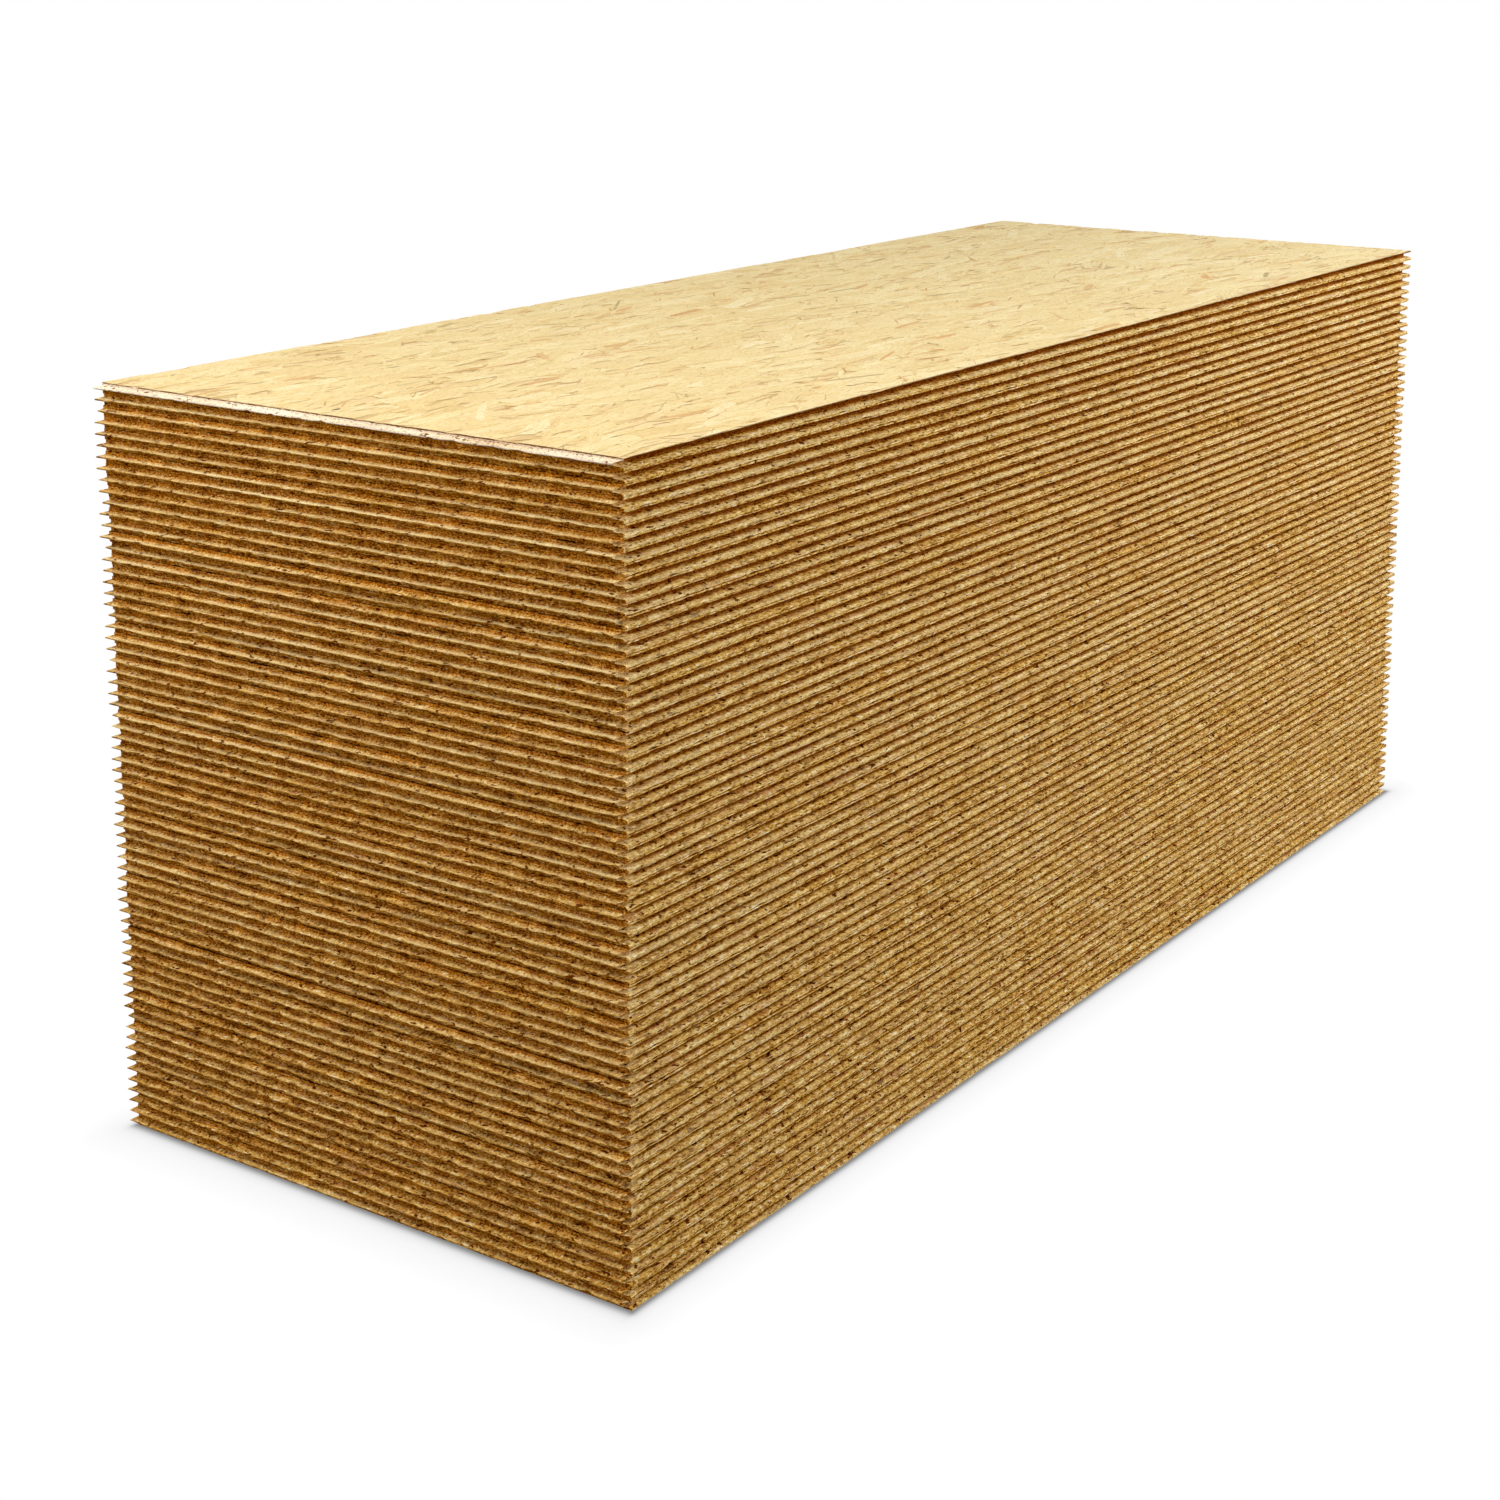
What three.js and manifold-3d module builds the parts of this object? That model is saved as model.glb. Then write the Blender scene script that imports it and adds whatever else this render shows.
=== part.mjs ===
// A stack of OSB laying panels, as it stands in a store: like boards lie flat on one another,
// squared up by hand, with no pallet and no strap. Each board has a tongue on one short and one
// long side and a groove on the two sides opposite. Units are millimetres and +Z is up. The boards
// run along Y. The short tongue side faces -Y and the long groove side faces +X.

import * as THREE from 'three';
import { mergeVertices } from 'three/addons/utils/BufferGeometryUtils.js';
import Module from 'manifold-3d';

const wasm = await Module();
wasm.setup();

// The board, without its tongues.
const PANEL_LENGTH = 1840;
const PANEL_WIDTH = 675;
const PANEL_THICKNESS = 12;

// The stack.
const PANEL_COUNT = 68;
const PANELS_PER_NODE = 2;
const SLIP_ALONG = 1.2; // furthest that a board lies off the stack's middle, along the boards
const SLIP_ACROSS = 0.9; // the same, across the boards
const SLIP_SEED = 7; // picks one way in which the boards lie

// The milled edge. The tongue is a wedge with a rounded tip, at half the board's thickness.
const TONGUE_LENGTH = 7;
const TONGUE_ROOT = 5.6;
const TONGUE_TIP_RADIUS = 1.1;
const TONGUE_TIP_SEGMENTS = 3;

// The groove takes the tongue of the next board, with room all round it. Its mouth is eased, so
// that the tongue finds its way in.
const GROOVE_SIDE_CLEARANCE = 0.3;
const GROOVE_END_CLEARANCE = 1;
const LEAD_IN_HEIGHT = 0.8;
const LEAD_IN_DEPTH = 1.8;
const GROOVE_MOUTH = TONGUE_ROOT + 2 * GROOVE_SIDE_CLEARANCE;
const GROOVE_FLOOR = 2 * (TONGUE_TIP_RADIUS + GROOVE_SIDE_CLEARANCE);
const GROOVE_DEPTH = TONGUE_LENGTH + GROOVE_END_CLEARANCE;

// The joint that shows all round between two boards of one node. It is an open slot that runs in
// past the groove, and the boards are one solid behind it.
const JOINT_HEIGHT = 0.5;
const JOINT_DEPTH = 16;

const OSB = new THREE.MeshStandardMaterial({ color: 0xd9b574, roughness: 0.78, metalness: 0 });

// The board's cross-section from one side to the other: groove at +u, tongue at -u, from v = 0 up.
function edgeProfile(bodyWidth) {
  const side = bodyWidth / 2;
  const middle = PANEL_THICKNESS / 2;
  const lip = middle - GROOVE_MOUTH / 2;
  const tipCentre = -side - TONGUE_LENGTH + TONGUE_TIP_RADIUS;
  const profile = new THREE.Shape();
  profile.moveTo(side, 0);
  profile.lineTo(side, lip - LEAD_IN_HEIGHT);
  profile.lineTo(side - LEAD_IN_DEPTH, lip);
  profile.lineTo(side - GROOVE_DEPTH, middle - GROOVE_FLOOR / 2);
  profile.lineTo(side - GROOVE_DEPTH, middle + GROOVE_FLOOR / 2);
  profile.lineTo(side - LEAD_IN_DEPTH, PANEL_THICKNESS - lip);
  profile.lineTo(side, PANEL_THICKNESS - lip + LEAD_IN_HEIGHT);
  profile.lineTo(side, PANEL_THICKNESS);
  profile.lineTo(-side, PANEL_THICKNESS);
  profile.lineTo(-side, middle + TONGUE_ROOT / 2);
  profile.absarc(tipCentre, middle, TONGUE_TIP_RADIUS, Math.PI / 2, 1.5 * Math.PI, false);
  profile.lineTo(-side, middle - TONGUE_ROOT / 2);
  profile.lineTo(-side, 0);
  profile.closePath();
  return profile;
}

// A prism of one profile, centred on the run: the profile's u lies along uAxis and its v along Z.
function millRun(profile, runLength, uAxis) {
  const options = { depth: runLength, bevelEnabled: false, curveSegments: TONGUE_TIP_SEGMENTS };
  const geometry = new THREE.ExtrudeGeometry(profile, options);
  const up = new THREE.Vector3(0, 0, 1);
  const runAxis = new THREE.Vector3().crossVectors(uAxis, up);
  geometry.translate(0, 0, -runLength / 2);
  geometry.applyMatrix4(new THREE.Matrix4().makeBasis(uAxis, up, runAxis));
  return geometry;
}

// A closed geometry as a solid for cutting and joining.
function toSolid(geometry) {
  const bare = geometry.clone();
  bare.deleteAttribute('normal');
  bare.deleteAttribute('uv');
  const merged = mergeVertices(bare);
  return new wasm.Manifold(new wasm.Mesh({
    numProp: 3,
    vertProperties: new Float32Array(merged.attributes.position.array),
    triVerts: new Uint32Array(merged.index.array),
  }));
}

// A solid's surface as a geometry, with one flat normal for each facet.
function toGeometry(solid) {
  const mesh = solid.getMesh();
  const geometry = new THREE.BufferGeometry();
  geometry.setAttribute('position', new THREE.BufferAttribute(mesh.vertProperties, 3));
  geometry.setIndex(new THREE.BufferAttribute(mesh.triVerts, 1));
  const faceted = geometry.toNonIndexed();
  faceted.computeVertexNormals();
  return faceted;
}

// One board, lying with its underside at z = 0. The long sides are milled in one pass and the
// short sides in another, so the board is what the two passes leave in common.
function millPanel() {
  const across = new THREE.Vector3(1, 0, 0);
  const along = new THREE.Vector3(0, 1, 0);
  const overLength = PANEL_LENGTH + 4 * TONGUE_LENGTH;
  const overWidth = PANEL_WIDTH + 4 * TONGUE_LENGTH;
  const longSides = toSolid(millRun(edgeProfile(PANEL_WIDTH), overLength, across));
  const shortPass = millRun(edgeProfile(PANEL_LENGTH), overWidth, along);
  return longSides.intersect(toSolid(shortPass));
}

// How far a board lies off the stack's middle, on each side.
function slipOf(panel) {
  const draw = (axis) => 2 * THREE.MathUtils.seededRandom(SLIP_SEED + 2 * panel + axis) - 1;
  return { across: SLIP_ACROSS * draw(0), along: SLIP_ALONG * draw(1) };
}

// The slot between two boards: a flat ring, open to the outside on all four sides.
function jointSlot(height) {
  const reach = TONGUE_LENGTH + SLIP_ALONG + SLIP_ACROSS;
  const ring = new THREE.Shape();
  const core = new THREE.Path();
  drawRectangle(ring, PANEL_WIDTH / 2 + reach, PANEL_LENGTH / 2 + reach);
  drawRectangle(core, PANEL_WIDTH / 2 - JOINT_DEPTH, PANEL_LENGTH / 2 - JOINT_DEPTH);
  ring.holes.push(core);
  const geometry = new THREE.ExtrudeGeometry(ring, { depth: JOINT_HEIGHT, bevelEnabled: false });
  geometry.translate(0, 0, height - JOINT_HEIGHT / 2);
  return toSolid(geometry);
}

function drawRectangle(path, halfWidth, halfLength) {
  path.moveTo(-halfWidth, -halfLength);
  path.lineTo(halfWidth, -halfLength);
  path.lineTo(halfWidth, halfLength);
  path.lineTo(-halfWidth, halfLength);
  path.closePath();
}

// The boards from first to last as one solid, its lowest underside at z = 0.
function layPanels(panel, first, last) {
  let pile = null;
  for (let index = first; index <= last; index += 1) {
    const slip = slipOf(index);
    const height = (index - first) * PANEL_THICKNESS;
    const laid = panel.translate([slip.across, slip.along, height]);
    pile = pile === null ? laid : pile.add(laid).subtract(jointSlot(height));
  }
  return pile;
}

function nodeName(first, last) {
  const label = (index) => String(index).padStart(2, '0');
  if (first === 1) return 'bottom_panel';
  if (first === PANEL_COUNT) return 'top_panel';
  return first === last ? `panel_${label(first)}` : `panels_${label(first)}_${label(last)}`;
}

// The first and last board of each node: one board at the bottom, one at the top, and runs of
// PANELS_PER_NODE boards between them.
function nodeRuns() {
  const runs = [[1, 1]];
  for (let first = 2; first < PANEL_COUNT; first += PANELS_PER_NODE) {
    runs.push([first, Math.min(first + PANELS_PER_NODE, PANEL_COUNT) - 1]);
  }
  runs.push([PANEL_COUNT, PANEL_COUNT]);
  return runs;
}

// The stack, with its origin on the floor under the middle of its outline.
function buildStack() {
  const boards = new THREE.Group();
  const panel = millPanel();
  for (const [first, last] of nodeRuns()) {
    const board = new THREE.Mesh(toGeometry(layPanels(panel, first, last)), OSB.clone());
    board.name = nodeName(first, last);
    board.position.z = (first - 1) * PANEL_THICKNESS;
    boards.add(board);
  }
  const outline = new THREE.Box3().setFromObject(boards).getCenter(new THREE.Vector3());
  boards.position.set(-outline.x, -outline.y, 0);
  const stack = new THREE.Group();
  stack.name = 'osb_panel_stack';
  stack.add(boards);
  return stack;
}

export default buildStack();
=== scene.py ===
"""Looks of a stack of OSB laying panels: pressed strand faces, rough milled edges, a pale floor."""

from __future__ import annotations

import functools
import logging
import math
import random
from collections.abc import Callable, Iterable, Mapping, Sequence
from dataclasses import dataclass, field
from enum import Enum
from typing import Any

import bmesh
import bpy
import numpy as np
from bpy.types import Material, Node, NodeSocket, NodeTree, Object, Texture, World
from mathutils import Matrix, Vector


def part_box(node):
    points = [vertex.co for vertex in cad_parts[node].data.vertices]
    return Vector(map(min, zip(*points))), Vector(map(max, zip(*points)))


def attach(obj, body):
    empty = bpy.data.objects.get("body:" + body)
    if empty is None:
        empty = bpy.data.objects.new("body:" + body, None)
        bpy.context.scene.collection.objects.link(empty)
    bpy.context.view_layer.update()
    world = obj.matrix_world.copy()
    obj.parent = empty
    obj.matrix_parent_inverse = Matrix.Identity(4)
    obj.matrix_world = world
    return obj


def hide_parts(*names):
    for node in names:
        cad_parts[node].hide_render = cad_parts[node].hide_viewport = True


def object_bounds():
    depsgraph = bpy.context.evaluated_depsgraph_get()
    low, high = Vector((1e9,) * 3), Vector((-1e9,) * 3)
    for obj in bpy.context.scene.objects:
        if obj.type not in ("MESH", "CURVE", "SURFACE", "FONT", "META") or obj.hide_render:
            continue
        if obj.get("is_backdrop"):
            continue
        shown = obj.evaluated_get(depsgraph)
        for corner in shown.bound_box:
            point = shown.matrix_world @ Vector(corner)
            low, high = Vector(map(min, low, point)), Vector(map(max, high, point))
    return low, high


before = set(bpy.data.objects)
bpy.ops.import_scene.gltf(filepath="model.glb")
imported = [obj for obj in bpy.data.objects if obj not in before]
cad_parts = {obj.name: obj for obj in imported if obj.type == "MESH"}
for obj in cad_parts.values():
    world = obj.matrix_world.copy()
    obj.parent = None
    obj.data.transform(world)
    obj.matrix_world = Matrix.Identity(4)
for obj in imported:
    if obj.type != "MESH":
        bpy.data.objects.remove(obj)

LOG = logging.getLogger("osb_stack")
MM = 0.001
BODY = "root"
TOP_NODE = "top_panel"

THICKNESS = 12 * MM  # of one board
BOARDS = 68
WHITE = "#FFFFFF"
WOOD_IOR = 1.45
FLECK_FRAY = 0.65  # how strongly the finer sizes fray a fleck
FACING = 0.9  # share of a normal along an axis from which a face counts as facing that way

# Settings of a Mix node for colours: one turns colour A into B, the other multiplies A by B, for stains
# and for painted shade.
BLEND = {"data_type": "RGBA"}
STAIN_AND_SHADE = {**BLEND, "blend_type": "MULTIPLY"}

XYZ = tuple[float, float, float]
Range = tuple[float, float]
Stops = tuple[tuple[float, str], ...]  # the place and colour of each stop of a colour ramp
AddNode = Callable[..., Node]


# ---- Colours and nodes -------------------------------------------


def linear(colour: str) -> tuple[float, float, float, float]:
    """Turn an sRGB hex colour into the linear values that a shader socket takes.

    Args:
        colour: Six hex digits after a hash sign, such as "#D9B574".

    Returns:
        Linear red, green and blue, and an alpha of 1.
    """
    shares = [int(colour[i : i + 2], 16) / 255 for i in (1, 3, 5)]
    red, green, blue = (
        share / 12.92 if share <= 0.04045 else ((share + 0.055) / 1.055) ** 2.4
        for share in shares
    )
    return red, green, blue, 1.0


def add_node(
    tree: NodeTree,
    kind: str,
    inputs: Mapping[str, Any] | Sequence[Any] = (),
    stops: Stops = (),
    **settings: Any,
) -> Node:
    """Add one shader node with its settings, and link or set its inputs.

    Args:
        tree: The node tree that gets the node.
        kind: Blender's name for the type of node, without the "ShaderNode" in front.
        inputs: A node or socket to link or a value to set for each input, by name or in order.
            For MapRange the order is the value, the range that it comes from, and the new range.
        stops: Place and sRGB hex colour of each stop, where the node is a colour ramp.
        **settings: The node's own properties.

    Returns:
        The new node.
    """
    node = tree.nodes.new(f"ShaderNode{kind}")
    for name, value in settings.items():
        setattr(node, name, value)
    for _ in stops[2:]:
        node.color_ramp.elements.new(1.0)
    for number, (place, colour) in enumerate(stops):
        node.color_ramp.elements[number].position = place
        node.color_ramp.elements[number].color = linear(colour)
    for key, value in inputs.items() if isinstance(inputs, Mapping) else enumerate(inputs):
        named = [one for one in node.inputs if one.enabled and one.name == key]
        socket = named[0] if named else node.inputs[key]
        if isinstance(value, Node):
            value = next(one for one in value.outputs if one.enabled)
        if isinstance(value, NodeSocket):
            tree.links.new(value, socket)
        else:
            socket.default_value = value
    return node


def empty_tree(owner: Material | World) -> AddNode:
    """Give a material or the world an empty node tree.

    Args:
        owner: The material or world.

    Returns:
        The function that adds a node to the tree: add_node without its first argument.
    """
    owner.use_nodes = True
    owner.node_tree.nodes.clear()
    return functools.partial(add_node, owner.node_tree)


def scatter(add: AddNode, place: NodeSocket, size: XYZ, detail: float) -> Node:
    """Scatter flecks of one size.

    Args:
        add: Adds a node to the material.
        place: The point, in metres.
        size: Size of a fleck along X, Y and Z, in metres.
        detail: How many finer sizes are added.

    Returns:
        The node whose first output is the strength of the fleck.
    """
    scaled = add("VectorMath", (place, [1 / length for length in size]), operation="MULTIPLY")
    noise = {"Vector": scaled, "Scale": 1.0, "Detail": detail, "Roughness": FLECK_FRAY}
    return add("TexNoise", noise)


# ---- Finishes ----------------------------------------------------


class Surface(Enum):
    """The kinds of surface that a board has."""

    FACE = "pressed face"
    EDGE = "sawn and milled edge"


Finishes = Mapping[Surface, Material]


@dataclass(frozen=True)
class Marks:
    """Small dark marks strewn over the wood.

    Attributes:
        size: Size of a mark along X, Y and Z.
        start: Level of the noise at which a mark begins, from 0 to 1: the higher, the fewer.
        full: Level at which it is fully there.
        colour: What the mark leaves of the wood's colour.
        detail: How many finer sizes fray its outline.
    """

    size: XYZ
    start: float
    full: float
    colour: str
    detail: float

    def stain(self, add: AddNode, place: NodeSocket, wood: Node) -> Node:
        """Strew the marks over the wood.

        Args:
            add: Adds a node to the material.
            place: The point, in metres.
            wood: The wood's colour without them.

        Returns:
            The node whose first output is the colour with them.
        """
        noise = scatter(add, place, self.size, self.detail)
        shown = add("MapRange", (noise, self.start, self.full))
        return add("Mix", {"Factor": shown, "A": wood, "B": linear(self.colour)}, **STAIN_AND_SHADE)


@dataclass(frozen=True)
class PaintedHighlight:
    """A painted highlight on one part of the edges, stronger up the stack.

    Attributes:
        start: How far out of the board's side it begins, negative in a groove.
        full: How far out it is full.
        low: Share of the highlight colour at the bottom of the stack.
        high: The same at its top.
    """

    start: float
    full: float
    low: float
    high: float


@dataclass(frozen=True)
class EdgeFinish:
    """Sawn and milled OSB edge: pine strands cut open, rough, with resin, pores and small voids.

    The strands of the two outer layers run along the board and those of the core run across it.
    Where a cut runs along the grain it shows pale flecked streaks, and where it crosses the grain
    it shows short dark pores. The attribute CUT holds the direction that each cut faces, and
    REACH how far the surface stands out of the board's side, or lies behind it where negative.
    """

    CUT = "cut"
    REACH = "reach"

    name: str = "osb_milled_edge"
    roughness: float = 0.8
    relief: float = 0.6 * MM  # height of the flecks
    relief_strength: float = 0.5

    # The boards and their layers.
    stack_height: float = BOARDS * THICKNESS
    core_start: float = 0.41  # depth of the core below a face, as a share of the thickness
    core_blur: float = 0.04  # over which it begins, to either side of that depth
    core_wave: float = 0.2  # how much the wave moves that depth
    wave: float = 20 * MM  # over which the layers rise and fall
    wave_height: float = 1.6 * MM
    wave_detail: float = 1.5

    # The strands that a cut has opened.
    strand_thickness: float = 0.9 * MM
    strand_depth: float = 14 * MM
    long_run: float = 48 * MM  # a strand cut along its grain
    short_run: float = 8 * MM  # a strand cut across its grain
    stray: float = 0.3  # how much a strand's turn changes how far the cut crosses its grain
    fleck: XYZ = (2.8 * MM, 6.0 * MM, 1.6 * MM)  # in an outer layer
    fleck_detail: float = 3.0
    fleck_strength: float = 3.2
    strand_strength: float = 0.3
    wave_strength: float = 0.9
    long_grain: Stops = (
        (0.02, "#6C3C04"),
        (0.16, "#A46F1E"),
        (0.36, "#C4933B"),
        (0.58, "#D6AD53"),
        (0.78, "#E2C373"),
        (1.0, "#F0E2BA"),
    )
    end_grain: Stops = (
        (0.04, "#541E00"),
        (0.22, "#8F4900"),
        (0.48, "#BE7104"),
        (0.72, "#CE8C1E"),
        (0.92, "#DCA23C"),
        (1.0, "#ECC56A"),
    )
    rust: str = "#C06A1C"  # what resin leaves of the wood's colour
    rust_levels: Range = (1.25, 1.5)  # of a strand's resin, from none to most rust
    rust_share: float = 0.55
    marks: tuple[Marks, ...] = (
        Marks((2.4 * MM, 2.4 * MM, 1.2 * MM), 0.58, 0.68, "#94601C", 2.0),
        Marks((9 * MM, 9 * MM, 1.8 * MM), 0.62, 0.68, "#7C4A14", 1.5),
    )

    # Painted shade and highlights, and the darker rim of the uppermost face.
    facing: float = 0.1  # share of a cut's direction from which it counts as on one side
    reaches: Range = (-8 * MM, 6.85 * MM)  # a groove's floor and a tongue's tip
    shade_by_reach: Stops = (  # painted shade, from a groove's floor, past its mouth at 0.54, to a tongue's tip
        (0.054, "#B58E60"),
        (0.13, "#CBAD78"),
        (0.27, "#F3E6B8"),
        (0.36, "#FFFFFF"),
        (0.93, "#FFFFFF"),
        (1.0, "#CCBFA0"),
    )
    # Painted highlights, where light from above catches the tongues, the grooves' lips and the
    # uppermost board's side.
    highlit: str = "#EAD8A0"
    tongue_highlight: PaintedHighlight = PaintedHighlight(1.0 * MM, 4.0 * MM, 0.08, 0.65)
    lip_highlight: PaintedHighlight = PaintedHighlight(-5.5 * MM, -2.0 * MM, 0.13, 0.30)  # painted highlight on a groove's lips
    open_highlight: PaintedHighlight = PaintedHighlight(-0.5 * MM, 0.0, 0.78, 0.78)  # painted highlight on the uppermost board's side above its tongues
    open_highlit: str = "#F5EDD6"  # colour of that painted highlight, where no board above shades the side
    open_band: float = 7.2 * MM  # how far that part reaches down from the uppermost face
    open_blur: float = 0.1 * MM
    tip_highlight_end: float = 5.9 * MM  # how far out the painted highlight on a tongue starts to fade towards its upright tip
    lip_levels: Range = (0.3, 0.8)  # up a board's thickness, from lower to upper lip
    upper_lip: float = 0.1  # share of the painted highlight that the upper lip gets
    undercut: Range = (-0.5, -0.1)  # upward share of a cut, from dark to full light
    patch: XYZ = (260 * MM, 260 * MM, 13 * MM)  # painted highlight alike
    patch_detail: float = 1.0
    patch_noise: Range = (0.3, 0.7)
    patch_shares: Range = (0.3, 1.7)  # least and greatest share of the painted highlight
    rim: str = "#8C5E2A"  # what the rim of the uppermost face leaves of the wood's colour
    rim_heights: Range = (0.5 * MM, 1.8 * MM)  # on tongue sides and groove sides
    rim_rag: XYZ = (7 * MM, 7 * MM, 3 * MM)  # a tooth of the rim's ragged lower edge
    rim_rag_height: float = 2 * MM
    rim_rag_detail: float = 2.0

    def build(self) -> Material:
        """Make the material.

        Returns:
            A material that reads Object coordinates and the cut and reach attributes.
        """
        material = bpy.data.materials.new(self.name)
        add = empty_tree(material)
        place = add("TexCoord").outputs["Object"]
        cut = add("Attribute", attribute_name=self.CUT).outputs["Vector"]
        side = add("SeparateXYZ", [add("VectorMath", [cut], operation="ABSOLUTE")]).outputs
        waves = {"Vector": place, "Scale": 1 / self.wave, "Detail": self.wave_detail}
        wave = add("TexNoise", waves)
        core, open_grain, strand_place = self.layers(add, place, side, wave)
        cells = add("TexVoronoi", {"Vector": strand_place, "Scale": 1.0})
        strand = add("SeparateColor", [cells.outputs["Color"]]).outputs
        across, along, high = self.fleck
        outer = scatter(add, place, (across, along, high), self.fleck_detail)
        inner = scatter(add, place, (along, across, high), self.fleck_detail)
        fleck = add("Mix", {"Factor": core, "A": outer, "B": inner})
        wood = self.wood(add, wave, strand, fleck, open_grain)
        # Painted shade and highlights, and the darker rim of the uppermost face.
        colour = self.paint_light_and_rim(add, place, cut, wood)
        for marks in self.marks:
            colour = marks.stain(add, place, colour)
        relief = {"Height": fleck, "Strength": self.relief_strength, "Distance": self.relief}
        finish = {
            "Base Color": colour,
            "Roughness": self.roughness,
            "IOR": WOOD_IOR,
            "Specular IOR Level": 0.0,
            "Normal": add("Bump", relief),
        }
        add("OutputMaterial", {"Surface": add("BsdfPrincipled", finish)})
        return material

    def layers(
        self,
        add: AddNode,
        place: NodeSocket,
        side: Mapping[str, NodeSocket],
        wave: Node,
    ) -> tuple[Node, Node, Node]:
        """Work out how the layers of strands lie to the cut.

        Args:
            add: Adds a node to the material.
            place: The point, in metres.
            side: How far the cut faces along X, Y and Z.
            wave: The slow rise and fall of the layers.

        Returns:
            How far the point lies in the core, how far the cut crosses the grain there, and the
            point in units of one strand.
        """
        axes = add("SeparateXYZ", [place]).outputs
        on_long = add("Math", (side["X"], side["Y"]), operation="GREATER_THAN")
        along = add("Mix", {"Factor": on_long, "A": axes["X"], "B": axes["Y"]})
        inward = add("Mix", {"Factor": on_long, "A": axes["Y"], "B": axes["X"]})
        boards = add("Math", (axes["Z"], 1 / THICKNESS), operation="MULTIPLY")
        depth = add("Math", (boards, 0.5), operation="PINGPONG")  # below the nearer face
        waved = add("Math", (wave, self.core_wave, depth), operation="MULTIPLY_ADD")
        start = self.core_start + self.core_wave / 2
        core = add("MapRange", (waved, start - self.core_blur, start + self.core_blur))
        open_grain = add("Mix", {"Factor": core, "A": side["Y"], "B": side["X"]})
        run = add("MapRange", (open_grain, 0.0, 1.0, 1 / self.long_run, 1 / self.short_run))
        height = add("Math", (wave, self.wave_height, axes["Z"]), operation="MULTIPLY_ADD")
        strand_place = [
            add("Math", (value, scale), operation="MULTIPLY")
            for value, scale in (
                (along, run),
                (inward, 1 / self.strand_depth),
                (height, 1 / self.strand_thickness),
            )
        ]
        return core, open_grain, add("CombineXYZ", strand_place)

    def wood(
        self,
        add: AddNode,
        wave: Node,
        strand: Mapping[int, NodeSocket],
        fleck: Node,
        open_grain: Node,
    ) -> Node:
        """Colour the strands that the cut has opened.

        Args:
            add: Adds a node to the material.
            wave: The slow rise and fall of the layers.
            strand: Three random values of each strand: how pale, how resinous, how turned.
            fleck: The strength of the flecks.
            open_grain: How far the cut crosses the grain, from 0 to 1.

        Returns:
            The node whose first output is the wood's colour.
        """
        strengths = (self.wave_strength, self.strand_strength, self.fleck_strength)
        tone: Any = 0.5 - sum(strengths) / 2  # so that noise of 0.5 all over gives a tone of 0.5
        for signal, strength in zip((wave, strand[0], fleck), strengths):
            tone = add("Math", (signal, strength, tone), operation="MULTIPLY_ADD")
        turn = add("MapRange", (strand[2], 0.0, 1.0, -self.stray, self.stray))
        crossed = add("Math", (open_grain, turn), operation="ADD", use_clamp=True)
        long_grain = add("ValToRGB", [tone], self.long_grain)
        end_grain = add("ValToRGB", [tone], self.end_grain)
        mixed = add("Mix", {"Factor": crossed, "A": long_grain, "B": end_grain}, **BLEND)
        resin = add("Math", (strand[1], wave), operation="ADD")
        rusty = add("MapRange", (resin, *self.rust_levels, 0.0, self.rust_share))
        return add("Mix", {"Factor": rusty, "A": mixed, "B": linear(self.rust)}, **STAIN_AND_SHADE)

    def paint_light_and_rim(self, add: AddNode, place: NodeSocket, cut: NodeSocket, wood: Node) -> Node:
        """Paint shade into the grooves and onto the tongues' tips, paint highlights on what faces up,
        and darken the rim of the uppermost face.

        Args:
            add: Adds a node to the material.
            place: The point, in metres.
            cut: The direction that the cut faces.
            wood: The wood's own colour.

        Returns:
            The node whose first output is the wood's colour now.
        """
        reach = add("Attribute", attribute_name=self.REACH).outputs["Fac"]
        # Painted shade: darkest at a groove's floor, none near its mouth, slight on a tongue's upright
        # tip.
        shade = add("ValToRGB", [add("MapRange", (reach, *self.reaches))], self.shade_by_reach)
        shaded = add("Mix", {"Factor": 1.0, "A": wood, "B": shade}, **STAIN_AND_SHADE)
        height = add("SeparateXYZ", [place]).outputs["Z"]
        facing = add("VectorMath", (cut, (1, 1, 0)), operation="DOT_PRODUCT").outputs["Value"]
        grooved = add("Math", (facing, self.facing), operation="GREATER_THAN")
        tongued = add("Math", (facing, -self.facing), operation="LESS_THAN")
        # The uppermost board's side above its tongues takes a whiter painted highlight.
        open_from = self.stack_height - self.open_band
        uppermost = add("MapRange", (height, open_from - self.open_blur, open_from, 0.0, tongued))
        highlight_share = self.paint_highlights(add, reach, height, grooved, uppermost)
        patches = scatter(add, place, self.patch, self.patch_detail)
        shares = add("MapRange", (patches, *self.patch_noise, *self.patch_shares))
        patched = add("Math", (highlight_share, shares), operation="MULTIPLY", use_clamp=True)
        # No painted highlight on cuts that face down.
        upward = add("SeparateXYZ", [cut]).outputs["Z"]
        lit = add("MapRange", (upward, *self.undercut, 0.0, patched))
        pales = {"A": linear(self.highlit), "B": linear(self.open_highlit)}
        pale = add("Mix", {"Factor": uppermost, **pales}, **BLEND)
        highlit = add("Mix", {"Factor": lit, "A": shaded, "B": pale}, **BLEND)
        rim_levels = [self.stack_height - rim for rim in self.rim_heights]
        rim_level = add("MapRange", (grooved, 0.0, 1.0, *rim_levels))
        teeth = scatter(add, place, self.rim_rag, self.rim_rag_detail)
        ragged = add("Math", (teeth, self.rim_rag_height, height), operation="MULTIPLY_ADD")
        rim = add("Math", (ragged, rim_level), operation="GREATER_THAN")
        return add("Mix", {"Factor": rim, "A": highlit, "B": linear(self.rim)}, **STAIN_AND_SHADE)

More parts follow.
